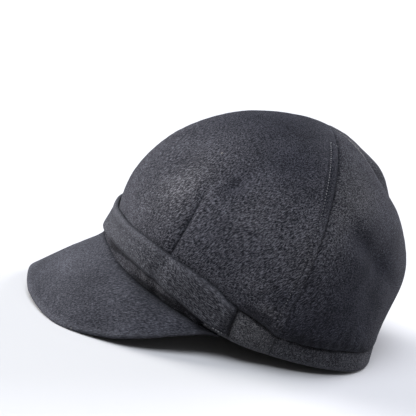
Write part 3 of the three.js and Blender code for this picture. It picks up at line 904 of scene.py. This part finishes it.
def makeCrownFront():
    steps = rowSteps(crownFront["cell"], crownFront["rowsTo"])
    left = frontHalfColumns(steps)
    bearing = np.concatenate([-left[:, ::-1], left[:, 1:]], 1)
    along = panelGrid(bearing, steps)
    extra, channel = raisedSkin(bearing, along)
    extra = extra - hemGroove(bearing, along)
    outer, inner = wallGrid(bearing, along, extra, endInset(bearing, -90, 90))
    perDegree = acrossWay(bearing, along)[1]
    fromEdge = (90 - np.abs(bearing)) * perDegree
    fromDart = (np.abs(bearing) - dartBearing(along)) * perDegree
    fromTop = crownFront["stitchTop"] + crownFront["stitchIn"] - along
    sideLine = bell(fromEdge, 1.1) * (0.3 + 0.5 * smoothStep(along, *crownFront["lineFrom"]))
    sideLine = sideLine * (0.15 + 0.85 * smoothStep(fromTop, -4, 3))
    seam = np.maximum(sideLine, 0.6 * bell(fromDart, 0.6) * dartLine(along))
    # Painted shade and flattened nap beside and under the strap and above the hem.
    paintedShade = brokenLine(outer, paintedShadeAndFlatNap(bearing, along), paintedShadeForm["ragged"])
    seam = np.maximum(brokenLine(outer, np.maximum(seam, 0.35 * channel)), paintedShade)
    edge = 0.25 * bell(fromEdge - 1.8, 1.0) * smoothStep(along, 60, 110)
    # Tone: the panel's nap shade with painted light and painted shade.
    masks = {"seam": seam, "edge": edge, "tone": toneAt(frontNapAndPaintedShading, bearing, along)}
    panelBody("crownFront", outer, inner, masks, 0, 90, "crown_front")


# Side 1 is the wearer's left, whose edge stands over the other's at the back seam.
def makeCrownBack(name, side, node):
    steps = rowSteps(crownFront["cell"], crownBack["rowsTo"])
    bearing = backColumns(steps)
    near = side > 0
    if not near:
        bearing = -bearing[:, ::-1]
    at = np.abs(bearing)
    along = panelGrid(bearing, steps)
    perDegree = acrossWay(bearing, along)[1]
    fromSide = (at - 90) * perDegree
    fromBack = (180 - at) * perDegree
    fromApex = clothLength(bearing) - along
    sideLine = (0.3 + 0.7 * smoothStep(along, *crownFront["lineFrom"])) * smoothStep(fromApex, 3, 26)
    upper = smoothStep(along, *crownBack["upper"])
    sunk = 0.5 * roundedEdge(fromSide, 2.0) * sideLine + hemGroove(bearing, along)
    sunk = sunk + roundedEdge(fromBack, 1.0) * (1 - 0.5 * upper)
    if near:
        sunk = sunk - crownBack["ridge"] * bell(fromBack - 1.5, 1.3) * upper * smoothStep(fromApex, 3, 26)
    sunk = sunk + backSeam["lineDepth"] * bell(fromBack, backSeam["lineWidth"]) * smoothStep(fromApex, 0, 20)
    first, last = (90, 180) if near else (-180, -90)
    outer, inner = wallGrid(bearing, along, -sunk, endInset(bearing, first, last))
    seam = np.maximum(0.6 * bell(fromSide, 1.2) * sideLine, bell(fromBack, 0.6) * (1 - 0.8 * upper))
    # The seam mask also carries painted shade and flattened nap above the hem.
    seam = np.maximum(brokenLine(outer, seam), brokenLine(outer, paintedShadeAndFlatNap(bearing, along), 0.7))
    # Painted highlight along the near panel's ridge at the back seam.
    edge = bell(fromBack - 1.5, 0.8) * upper * near
    # Tone: the panel's nap shade with painted light and painted shade.
    tone = toneAt(backNapAndPaintedShading, bearing, along)
    # Painted highlight on the near panel's ridge; painted shade, then painted light, on the far panel.
    if near:
        tone = tone * (1 + crownBack["lineLight"] * bell(np.maximum(fromBack - 2.2, 0), 1.6) * upper)
    else:
        tone = tone * (1 - crownBack["farShade"] * bell(fromBack, 3) * upper)
        tone = tone * (1 + crownBack["farLight"] * bell(fromBack - 12, 9) * upper)
    masks = {"seam": seam, "edge": edge, "tone": tone}
    panelBody(name, outer, inner, masks, 135 * side, 45, node)


makeCrownFront()
makeCrownBack("crownBackLeft", 1, "crown_back_left")
makeCrownBack("crownBackRight", -1, "crown_back_right")
print("crown panels ready")


# Turned-up hem.
hemForm = {
    "footRadius": 2, "topRound": 1.5, "endRound": 2.2, "rows": 16, "perDegree": 1.7, "cell": 0.9,
    "ends": (0, 0.25, 0.6, 1.1, 1.8),  # columns gather at its ends
    # The last value paints light on the hem's front part.
    "frontFull": 0.9, "frontLine": 0.7, "frontPaintedLight": 0.35,
}


def hemSection(high):
    radius = hemForm["footRadius"]
    share = np.linspace(0, 1, hemForm["rows"])
    arc = np.radians(np.linspace(90, -90, 11)[1:-1])
    upper = 1 - share ** 1.3
    outerAlong = radius + (high[:, None] - radius) * upper
    outerOffset = -0.8 * roundedEdge(high[:, None] - outerAlong, hemForm["topRound"])
    footAlong = np.maximum(radius - radius * np.cos(arc) * 1.12, 0)[None, :] + 0 * high[:, None]
    footOffset = (-radius + radius * np.sin(arc))[None, :] + 0 * high[:, None]
    innerAlong = radius + (high[:, None] - radius) * np.linspace(0, 1, 8)[None, :]
    innerOffset = -2 * radius + 0 * innerAlong
    along = np.concatenate([outerAlong, footAlong, innerAlong], 1)
    offset = np.concatenate([outerOffset, footOffset, innerOffset], 1)
    return along, offset


def makeHem(name, first, last, node):
    end = np.array(hemForm["ends"]) / hemForm["perDegree"]
    count = int((last - first) * hemForm["perDegree"] / hemForm["cell"])
    middle = np.linspace(first + end[-1], last - end[-1], count)[1:-1]
    turns = np.concatenate([first + end, middle, last - end[::-1]])
    gap = 0.5 * capForm["seamGap"]
    high = hemTop(turns) - gap * 1.2
    along, offset = hemSection(np.maximum(high, 1))
    bearing = turns[:, None] + 0 * along
    base = clothPoint(bearing, along)
    outside = smoothStep(offset, -1.9, -0.4)
    fromEnd = np.minimum(turns - first, last - turns)[:, None] * acrossWay(bearing, along)[1]
    slump = softForm["fine"] * 1.6 * noiseAt(base, 12, 3) + 0.45 * noiseAt(base, 26, 4)
    fromBand = (np.abs(turns)[:, None] - bandEnd) * acrossWay(bearing, along)[1]
    frontFull = smoothStep(fromBand, 0.4, 3.5) * (1 - smoothStep(fromBand, 14, 24))
    slump = slump + hemForm["frontFull"] * frontFull
    slump = slump - hemForm["frontLine"] * bell(fromBand - 0.2, 0.9)
    offset = offset + outside * (slump - 0.6 * roundedEdge(fromEnd, hemForm["endRound"]))
    point = skinPoint(bearing, along, offset)
    floorZ = clothPoint(bearing, 0 * along)[..., 2]
    low = smoothStep(along, 0, 3)
    point[..., 2] = np.maximum(point[..., 2] * low + (floorZ + along) * (1 - low), floorZ)
    inset = endInset(bearing, first, last)
    point = point + acrossWay(bearing, along)[0] * inset[..., None]
    # Painted shade along the hem's top under the crown's puff, and a painted shadow line at the strap's end;
    # the joins are dark seam lines.
    nearTop = 0.8 * bell(high[:, None] - along, 1.3)
    line = 1.3 * bell(fromBand - 0.5, 1.4)
    join = 0.4 * bell(fromEnd, 2.4) * (np.abs(turns)[:, None] > bandEnd + 3)
    seam = brokenLine(base, np.maximum(np.maximum(join, line), nearTop) * outside)
    edge = bell(along - 0.8, 1.4) * outside
    # Painted light on the hem's front part.
    tone = 1 + hemForm["frontPaintedLight"] * (1 - smoothStep(leftBearing(bearing), 84, 96))
    masks = {"seam": seam, "edge": edge, "tone": tone}
    sweptBody(name, point, masks, hemWool, node, turned=True)


makeHem("sideHemLeft", 66.9, 90, "side_hem_left")
makeHem("sideHemRight", -90, -66.9, "side_hem_right")
makeHem("backHem", 90, 270, "back_hem")
print("hem ready")


# The strap across the front.
bandForm = {
    "thick": 3.2, "gap": 0.45, "edgeRound": 1.8, "endRound": 5.5, "underRows": 8,
    "waviness": 0.55, "puff": 0.9, "foldIn": 5.5, "foldDeep": 0.4, "foldWide": 1.3,
    "cornerRound": 3.2, "cornerLow": 2.6, "cornerHigh": 3.2,
}
bandProfile = {
    "at": (0, 0.18, 0.36, 0.54, 0.72, 0.87, 0.96, 1),
    "thick": (1, 1, 1, 0.98, 0.93, 0.82, 0.7, 0.55),
}
bandThickness = smoothColumn(bandProfile, "thick")


# The strap's outer skin at each turn (a column) and share of its width, from the lower edge to the upper.
def bandSkin(turns, share):
    turns = turns[:, None]
    fromEnd = (bandEnd - np.abs(turns)) * acrossWay(turns, bandHigh(np.abs(turns)))[1]
    corner = 1 - roundness(fromEnd, bandForm["cornerRound"])
    low = bandLow(np.abs(turns)) + bandForm["cornerLow"] * corner
    high = bandHigh(np.abs(turns)) - bandForm["cornerHigh"] * corner
    wide = high - low
    along = low + wide * share
    bearing = turns + 0 * along
    at = np.abs(bearing)
    base = clothPoint(bearing, along)
    sway = bandForm["waviness"] * noiseAt(clothPoint(turns, high), 24, 6)
    along = along + sway * smoothStep(share, 0.5, 1) - 0.5 * sway * smoothStep(1 - share, 0.5, 1)
    fromEdge = np.minimum(share, 1 - share) * wide
    full = bandForm["thick"] * bandThickness(share)
    endRoundness = roundness(fromEnd, bandForm["endRound"])
    thick = full * roundness(fromEdge, bandForm["edgeRound"]) * endRoundness
    puff = bandForm["puff"] * np.sin(np.pi * share) ** 0.8 * endRoundness
    puff = puff * (1 - 0.6 * smoothStep(at, 20, 50))
    fold = bell((1 - share) * wide - bandForm["foldIn"], bandForm["foldWide"]) * (1 - smoothStep(at, 42, 60))
    puff = puff - bandForm["foldDeep"] * fold * endRoundness
    soft = 0.3 * noiseAt(base, 11, 7) + 0.4 * noiseAt(base, 30, 8)
    soft = soft * smoothStep(fromEdge, 0, 3) * endRoundness
    outer = skinPoint(bearing, along, bandForm["gap"] + 0.05 + thick + puff + soft)
    # Painted shade along the strap's lower edge, in its fold and over the last few mm at its ends; dark
    # lines along both edges.
    under = bell(np.maximum(share * wide - 2.2, 0), 0.7) * smoothStep(at, 12, 24)
    seam = np.maximum(0.9 * bell(fromEdge, 0.5), under) + 0.3 * fold
    seam = seam + bell(fromEnd, 1.0) + 0.8 * bell(fromEnd, 5.5)
    # Lighter edges, the upper one more: worn edges and painted highlight.
    edge = bell((1 - share) * wide - 1.8, 1.6) + 0.4 * bell(share * wide - 1.2, 1)
    return outer, along, np.clip(seam, 0, 1), edge * endRoundness


def makeBand():
    endStops = bandEnd - np.array([0, 0.05, 0.14, 0.28, 0.46, 0.7, 1.0, 1.35, 1.8, 2.3])
    half = np.concatenate([np.arange(0, bandEnd - 2.6, 0.75), endStops[::-1]])
    turns = np.concatenate([-half[:0:-1], half])
    share = np.concatenate([
        [0, 0.006, 0.02, 0.045, 0.08], np.linspace(0.12, 0.9, 26), [0.94, 0.97, 0.988, 0.997, 1],
    ])
    outer, along, seam, edge = bandSkin(turns, share[None, :])
    under = np.linspace(1, 0, bandForm["underRows"])[1:-1]
    underAlong = along[:, :1] + (along[:, -1:] - along[:, :1]) * under
    inner = skinPoint(turns[:, None] + 0 * underAlong, underAlong, bandForm["gap"] + 0 * underAlong)
    loops = np.concatenate([outer, inner], 1)
    masks = {"seam": seam, "edge": edge}
    masks = {key: np.concatenate([value, 0 * underAlong], 1) for key, value in masks.items()}
    sweptBody("frontBand", loops, masks, bandWool, "front_band")


makeBand()
print("strap ready")


# The covered peak.
peakForm = {
    "rimRound": 12, "rows": 44, "turnStep": 1.1, "rootDip": 0.5, "rootRise": 1.8, "tuckRise": 1.1,
    "rimGroove": 0.35, "grooveAngle": 28,
}
peakRows = {
    "at": (0, 12, 24, 38, 50, 63, 72, 79),
    "x": (131.6, 126.4, 106.8, 75.3, 52.9, 25.9, 12.5, 3.2),
    "y": (0, 36.5, 71.3, 87.9, 91.7, 87.9, 84.8, 83.4),
    "z": (8.3, 3.8, 0.4, 3.3, 8.2, 13.8, 15.8, 15.9),
    "camber": (1, 1.4, 3.6, 4.4, 4, 2, 0.6, 0),
    "thick": (4.2, 4.2, 4.2, 4, 3.6, 2.8, 2.2, 1.6),
}
# Soft creases across the peak. Share is 0 at its root and 1 at its rim.
creaseRows = rowsOf("turn share long wide deep", (
    (21, 0.42, 9, 0.035, 0.35),
    (26, 0.52, 8, 0.03, 0.3),
    (33, 0.36, 7, 0.04, 0.3),
    (-24, 0.45, 9, 0.035, 0.35),
))
peakX = smoothColumn(peakRows, "x", "even", "onward")
peakY = smoothColumn(peakRows, "y", "odd", "onward")
peakZ = smoothColumn(peakRows, "z", "even", "onward")
peakCamber = smoothColumn(peakRows, "camber", "even", "onward")
peakThick = smoothColumn(peakRows, "thick", "even", "onward")


def makePeak():
    last = peakRows["at"][-1]
    half = np.arange(0, last, peakForm["turnStep"])
    half = np.concatenate([half, [last]])
    turns = np.concatenate([-half[:0:-1], half])
    at = np.abs(turns)
    side = np.where(turns < 0, -1.0, 1.0)
    halfThick = 0.5 * peakThick(at)[:, None]
    seam = edgePoint(at)
    seam[:, 2] -= capForm["seamGap"]
    tip = np.stack([peakX(at) + capForm["shift"], peakY(at), peakZ(at)], -1)
    out = unit(tip - seam)
    normal = unit(np.array([0, 0, 1]) - out * out[:, 2:3])
    middle = tip - out * halfThick
    root = seam - normal * halfThick
    reach = np.linalg.norm(middle - root, axis=1)[:, None]
    share = 1 - np.linspace(0, 1, peakForm["rows"]) ** 1.25
    bulge = 4 * peakCamber(at)[:, None] * share * (1 - share)
    centre = root[:, None] + (middle - root)[:, None] * share[None, :, None]
    centre = centre + normal[:, None] * bulge[..., None]
    fromRoot = share * reach
    rootRise = peakForm["rootRise"] * (1 - smoothStep(at, 14, 32))[:, None]
    rootDip = peakForm["rootDip"] - 0.5 * rootRise
    topLift = halfThick + rootRise * np.exp(-fromRoot / 5) - rootDip * np.exp(-fromRoot / 1.6)
    for row in creaseRows:
        along = bell(turns[:, None] - row["turn"], row["long"])
        topLift = topLift - row["deep"] * along * bell(share - row["share"], row["wide"])
    soft = 0.3 * noiseAt(centre, 30, 9) + 0.14 * noiseAt(centre, 9, 10)
    topLift = topLift + soft * smoothStep(share, 0, 0.1) * smoothStep(1 - share, 0, 0.08)
    top = centre + normal[:, None] * topLift[..., None]
    bottom = centre - normal[:, None] * (halfThick + 0 * share)[..., None]
    angle = np.radians(np.linspace(90, -90, peakForm["rimRound"] * 2 + 1)[1:-1])
    fromGroove = np.degrees(angle) + peakForm["grooveAngle"]
    groove = 1 - peakForm["rimGroove"] / np.maximum(halfThick, 0.5) * bell(fromGroove, 9)
    ahead = halfThick * np.cos(angle) * groove
    rising = halfThick * np.sin(angle) * groove
    rim = middle[:, None] + out[:, None] * ahead[..., None] + normal[:, None] * rising[..., None]
    inward = -edgeOutward(at) * capForm["felt"]
    tuckTop = top[:, -1:] + inward[:, None] + np.array([0, 0, peakForm["tuckRise"]])
    tuckBottom = bottom[:, -1:] + inward[:, None]
    loops = np.concatenate([tuckTop, top[:, ::-1], rim, bottom, tuckBottom], 1)
    loops[..., 1] *= side[:, None]
    loops[..., 2] = np.maximum(loops[..., 2], 0)
    # The root: a dark seam line, and painted shade on the peak towards its ends under the strap.
    rootSeamAndShade = bell(fromRoot, 1.3) * (0.25 + 0.75 * smoothStep(at, 22, 46))[:, None]
    rootSeamAndShade = np.maximum(rootSeamAndShade, smoothStep(at, 48, 62)[:, None] * bell(fromRoot, 5.5))
    rootSeamAndShade = np.maximum(rootSeamAndShade, 1.4 * smoothStep(at, 63, 72)[:, None] * bell(fromRoot, 16))
    # Painted shade in the rim's groove and on the rim towards the peak's ends.
    rimPaintedShade = np.zeros(rim.shape[:2]) + bell(fromGroove, 10) * 0.7
    rimPaintedShade = np.maximum(rimPaintedShade, (0.45 * smoothStep(at, 30, 50) + 0.9 * smoothStep(at, 66, 73))[:, None])
    zero = np.zeros((len(turns), 1))
    seamAndShadeMask = np.concatenate([zero + 1, rootSeamAndShade[:, ::-1], rimPaintedShade, 0 * fromRoot, zero], 1)
    # Lighter rim: near its top edge worn edge and painted highlight, its upper side a painted highlight.
    topEdgeWearAndHighlight = bell((1 - share) * reach, 2.0)
    rimPaintedHighlight = np.zeros(rim.shape[:2]) + smoothStep(np.degrees(angle), -10, 60)
    peakWearAndHighlight = np.concatenate([zero, topEdgeWearAndHighlight[:, ::-1], rimPaintedHighlight, 0 * fromRoot, zero], 1)
    masks = {"seam": seamAndShadeMask, "edge": peakWearAndHighlight}
    sweptBody("peak", loops, masks, brimWool, "brim", turned=True)


makePeak()
print("peak ready")


# Thread.
threadForm = {
    "radius": 0.3, "length": 1.3, "pitch": 2.15, "lift": 0.03, "seed": 4,
    "sunk": 0.26, "sunkFrom": (95, 125),  # deep in the nap low down, and out of it from here up
}
tackForm = {"radius": 0.28, "length": 1.3, "pitch": 1.9, "seed": 4}


def threadMaterial():
    material, tree, shader, place = newMaterial("stitchThread")
    shader.inputs["Specular IOR Level"].default_value = 0.35
    twist = {"Vector": place, "Scale": 900.0, "Distortion": 1.5}
    twist = addNode(tree, "ShaderNodeTexWave", twist, wave_type="BANDS", bands_direction="DIAGONAL")
    twist = twist.outputs["Fac"]
    ramp = addNode(tree, "ShaderNodeValToRGB", {"Fac": twist})
    ramp.color_ramp.elements[0].color = (0.16, 0.16, 0.17, 1)
    ramp.color_ramp.elements[1].color = (0.36, 0.36, 0.37, 1)
    rough = addNode(tree, "ShaderNodeMapRange", {"Value": twist, "To Min": 0.55, "To Max": 0.8})
    bump = addNode(tree, "ShaderNodeBump", {"Height": twist, "Distance": 0.0001})
    tree.links.new(ramp.outputs["Color"], shader.inputs["Base Color"])
    tree.links.new(rough.outputs["Result"], shader.inputs["Roughness"])
    tree.links.new(bump.outputs["Normal"], shader.inputs["Normal"])
    return material


def stitchTree(material):
    tree, given, result = newGroup("stitchRow", [
        ("Geometry", "Geometry", None),
        ("Pitch", "Float", threadForm["pitch"] * mm),
        ("Stitch Length", "Float", threadForm["length"] * mm),
        ("Thread Radius", "Float", threadForm["radius"] * mm),
        ("Seed", "Int", threadForm["seed"]),
    ], [("Geometry", "Geometry")], "GeometryNodeTree")
    path = addNode(tree, "GeometryNodeMeshToCurve", {0: given["Geometry"]}).outputs[0]
    spaced = {"Curve": path, "Length": given["Pitch"]}
    spaced = addNode(tree, "GeometryNodeResampleCurve", spaced, mode="LENGTH").outputs[0]
    ball = addNode(tree, "GeometryNodeMeshUVSphere", {"Segments": 8, "Rings": 6, "Radius": 1.0})
    halfLength = mathNode(tree, "MULTIPLY", given["Stitch Length"], 0.5)
    sizes = {"X": given["Thread Radius"], "Y": given["Thread Radius"], "Z": halfLength}
    sizes = addNode(tree, "ShaderNodeCombineXYZ", sizes).outputs[0]
    stitch = {"Geometry": ball.outputs["Mesh"], "Scale": sizes}
    stitch = addNode(tree, "GeometryNodeTransform", stitch).outputs[0]
    tangent = addNode(tree, "GeometryNodeInputTangent").outputs[0]
    turned = addNode(tree, "FunctionNodeAlignRotationToVector", {"Vector": tangent}, axis="Z").outputs[0]
    vary = {2: 0.75, 3: 1.1, "Seed": given["Seed"]}
    vary = addNode(tree, "FunctionNodeRandomValue", vary, data_type="FLOAT")
    placed = {"Points": spaced, "Instance": stitch, "Rotation": turned, "Scale": vary.outputs[1]}
    placed = addNode(tree, "GeometryNodeInstanceOnPoints", placed).outputs[0]
    real = addNode(tree, "GeometryNodeRealizeInstances", {0: placed}).outputs[0]
    paint = addNode(tree, "GeometryNodeSetMaterial", {"Geometry": real, "Material": material})
    tree.links.new(paint.outputs[0], result[0])
    return tree


stitches = stitchTree(threadMaterial())


def socketId(tree, label):
    return next(s.identifier for s in tree.interface.items_tree if s.name == label and s.in_out == "INPUT")


def makeStitches(name, paths, form):
    vertices, edges = [], []
    for path in paths:
        start = len(vertices)
        vertices += [tuple(p) for p in path * mm]
        edges += [(k, k + 1) for k in range(start, len(vertices) - 1)]
    mesh = bpy.data.meshes.new(name + "Path")
    mesh.from_pydata(vertices, edges, [])
    guide = addObject(name + "Path", mesh)
    modifier = guide.modifiers.new("stitches", "NODES")
    modifier.node_group = stitches
    modifier[socketId(stitches, "Pitch")] = form["pitch"] * mm
    modifier[socketId(stitches, "Stitch Length")] = form["length"] * mm
    modifier[socketId(stitches, "Thread Radius")] = form["radius"] * mm
    modifier[socketId(stitches, "Seed")] = form["seed"]
    graph = bpy.context.evaluated_depsgraph_get()
    made = bpy.data.meshes.new_from_object(guide.evaluated_get(graph))
    made.name = name
    bpy.data.objects.remove(guide)
    made.polygons.foreach_set("use_smooth", [True] * len(made.polygons))
    piece = addObject(name, made)
    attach(piece, "root")
    print("  ", name, len(made.polygons), "faces")


def topstitchPath(side):
    low, top, inward = crownFront["stitchLow"] + 12, crownFront["stitchTop"], crownFront["stitchIn"]
    along = np.concatenate([np.arange(low, top, 1.5), [top]])
    bearing = 90 - inward / acrossWay(90 + 0 * along, along)[1]
    corner = np.linspace(inward, 0.8, 6)[1:]
    cornerAlong = top + 0 * corner
    cornerBearing = 90 - corner / acrossWay(90 + 0 * corner, cornerAlong)[1]
    bearing = np.concatenate([bearing, cornerBearing]) * side
    along = np.concatenate([along, cornerAlong])
    base = clothPoint(bearing, along)
    lift = relief(bearing, along) + fineRelief(bearing, along, base) + raisedSkin(bearing, along)[0]
    lift = lift + threadForm["lift"] - threadForm["sunk"] * (1 - smoothStep(along, *threadForm["sunkFrom"]))
    return base + clothNormal(bearing, along) * lift[:, None]


def tackPath(side):
    turns = np.linspace(70.6, 73.2, 6) * side
    return bandSkin(turns, np.full((6, 1), 0.055))[0][:, 0]


makeStitches("topstitch", [topstitchPath(1), topstitchPath(-1)], threadForm)
makeStitches("strapTack", [tackPath(1), tackPath(-1)], tackForm)
print("stitches ready")


# Studio: pale floor, soft lights, and a camera at the photo's angle to the cap.
studio = {
    "aim": (18, 0, 78.5), "azimuth": 4, "elevation": 14, "capTilt": 12.5,
    "lens": 100, "sensor": 36, "distance": 806.9,
    "floorHalf": 80.0, "worldColor": (0.93, 0.94, 0.96), "worldStrength": 0.2,
}
lightRows = rowsOf("name from soft strength color", (
    ("key", (0.912, -0.332, 0.242), 34, 8.0, (1.0, 0.985, 0.975)),
    ("top", (0.203, 0.352, 0.914), 40, 3.3, (0.88, 0.92, 1.0)),
    ("back", (-0.743, -0.624, 0.242), 40, 4.8, (0.93, 0.92, 1.0)),
))


def makeCamera():
    a, e = math.radians(studio["azimuth"]), math.radians(studio["elevation"])
    back = Vector((math.sin(a) * math.cos(e), math.cos(a) * math.cos(e), math.sin(e)))
    right = Vector((0, 0, 1)).cross(back).normalized()
    up = back.cross(right)
    tilt = Matrix.Rotation(math.radians(studio["capTilt"]), 3, "Y")
    back, right, up = tilt @ back, tilt @ right, tilt @ up
    aim = Vector(studio["aim"]) * mm + Vector((capForm["shift"] * mm, 0, 0))
    camera = addObject("camera", bpy.data.cameras.new("camera"))
    camera.data.lens = studio["lens"]
    camera.data.sensor_width = studio["sensor"]
    turned = Matrix((right, up, back)).transposed().to_4x4()
    turned.translation = aim + back * studio["distance"] * mm
    camera.matrix_world = turned
    bpy.context.scene.camera = camera


def makeLights():
    for row in lightRows:
        light = bpy.data.lights.new(row["name"], "SUN")
        light.angle = math.radians(row["soft"])
        light.energy = row["strength"]
        light.color = row["color"]
        lamp = addObject(row["name"], light)
        lamp.location = row["from"]
        lamp.rotation_euler = Vector(row["from"]).to_track_quat("Z", "Y").to_euler()
    world = bpy.data.worlds.new("studio")
    world.use_nodes = True
    sky = world.node_tree.nodes["Background"]
    sky.inputs["Color"].default_value = (*studio["worldColor"], 1)
    sky.inputs["Strength"].default_value = studio["worldStrength"]
    bpy.context.scene.world = world


def makeFloor():
    h = studio["floorHalf"]
    mesh = bpy.data.meshes.new("floor")
    mesh.from_pydata([(-h, -h, 0), (h, -h, 0), (h, h, 0), (-h, h, 0)], [], [(0, 1, 2, 3)])
    material, tree, shader, place = newMaterial("paleFloor")
    shader.inputs["Roughness"].default_value = 0.9
    ramp = addNode(tree, "ShaderNodeValToRGB", {"Fac": noiseNode(tree, place, 3.0, 3)})
    ramp.color_ramp.elements[0].color = (0.52, 0.52, 0.525, 1)
    ramp.color_ramp.elements[1].color = (0.54, 0.54, 0.545, 1)
    tree.links.new(ramp.outputs["Color"], shader.inputs["Base Color"])
    mesh.materials.append(material)
    addObject("floor", mesh)


bpy.context.scene.view_settings.view_transform = "Standard"
makeCamera()
makeLights()
makeFloor()
print("studio ready")
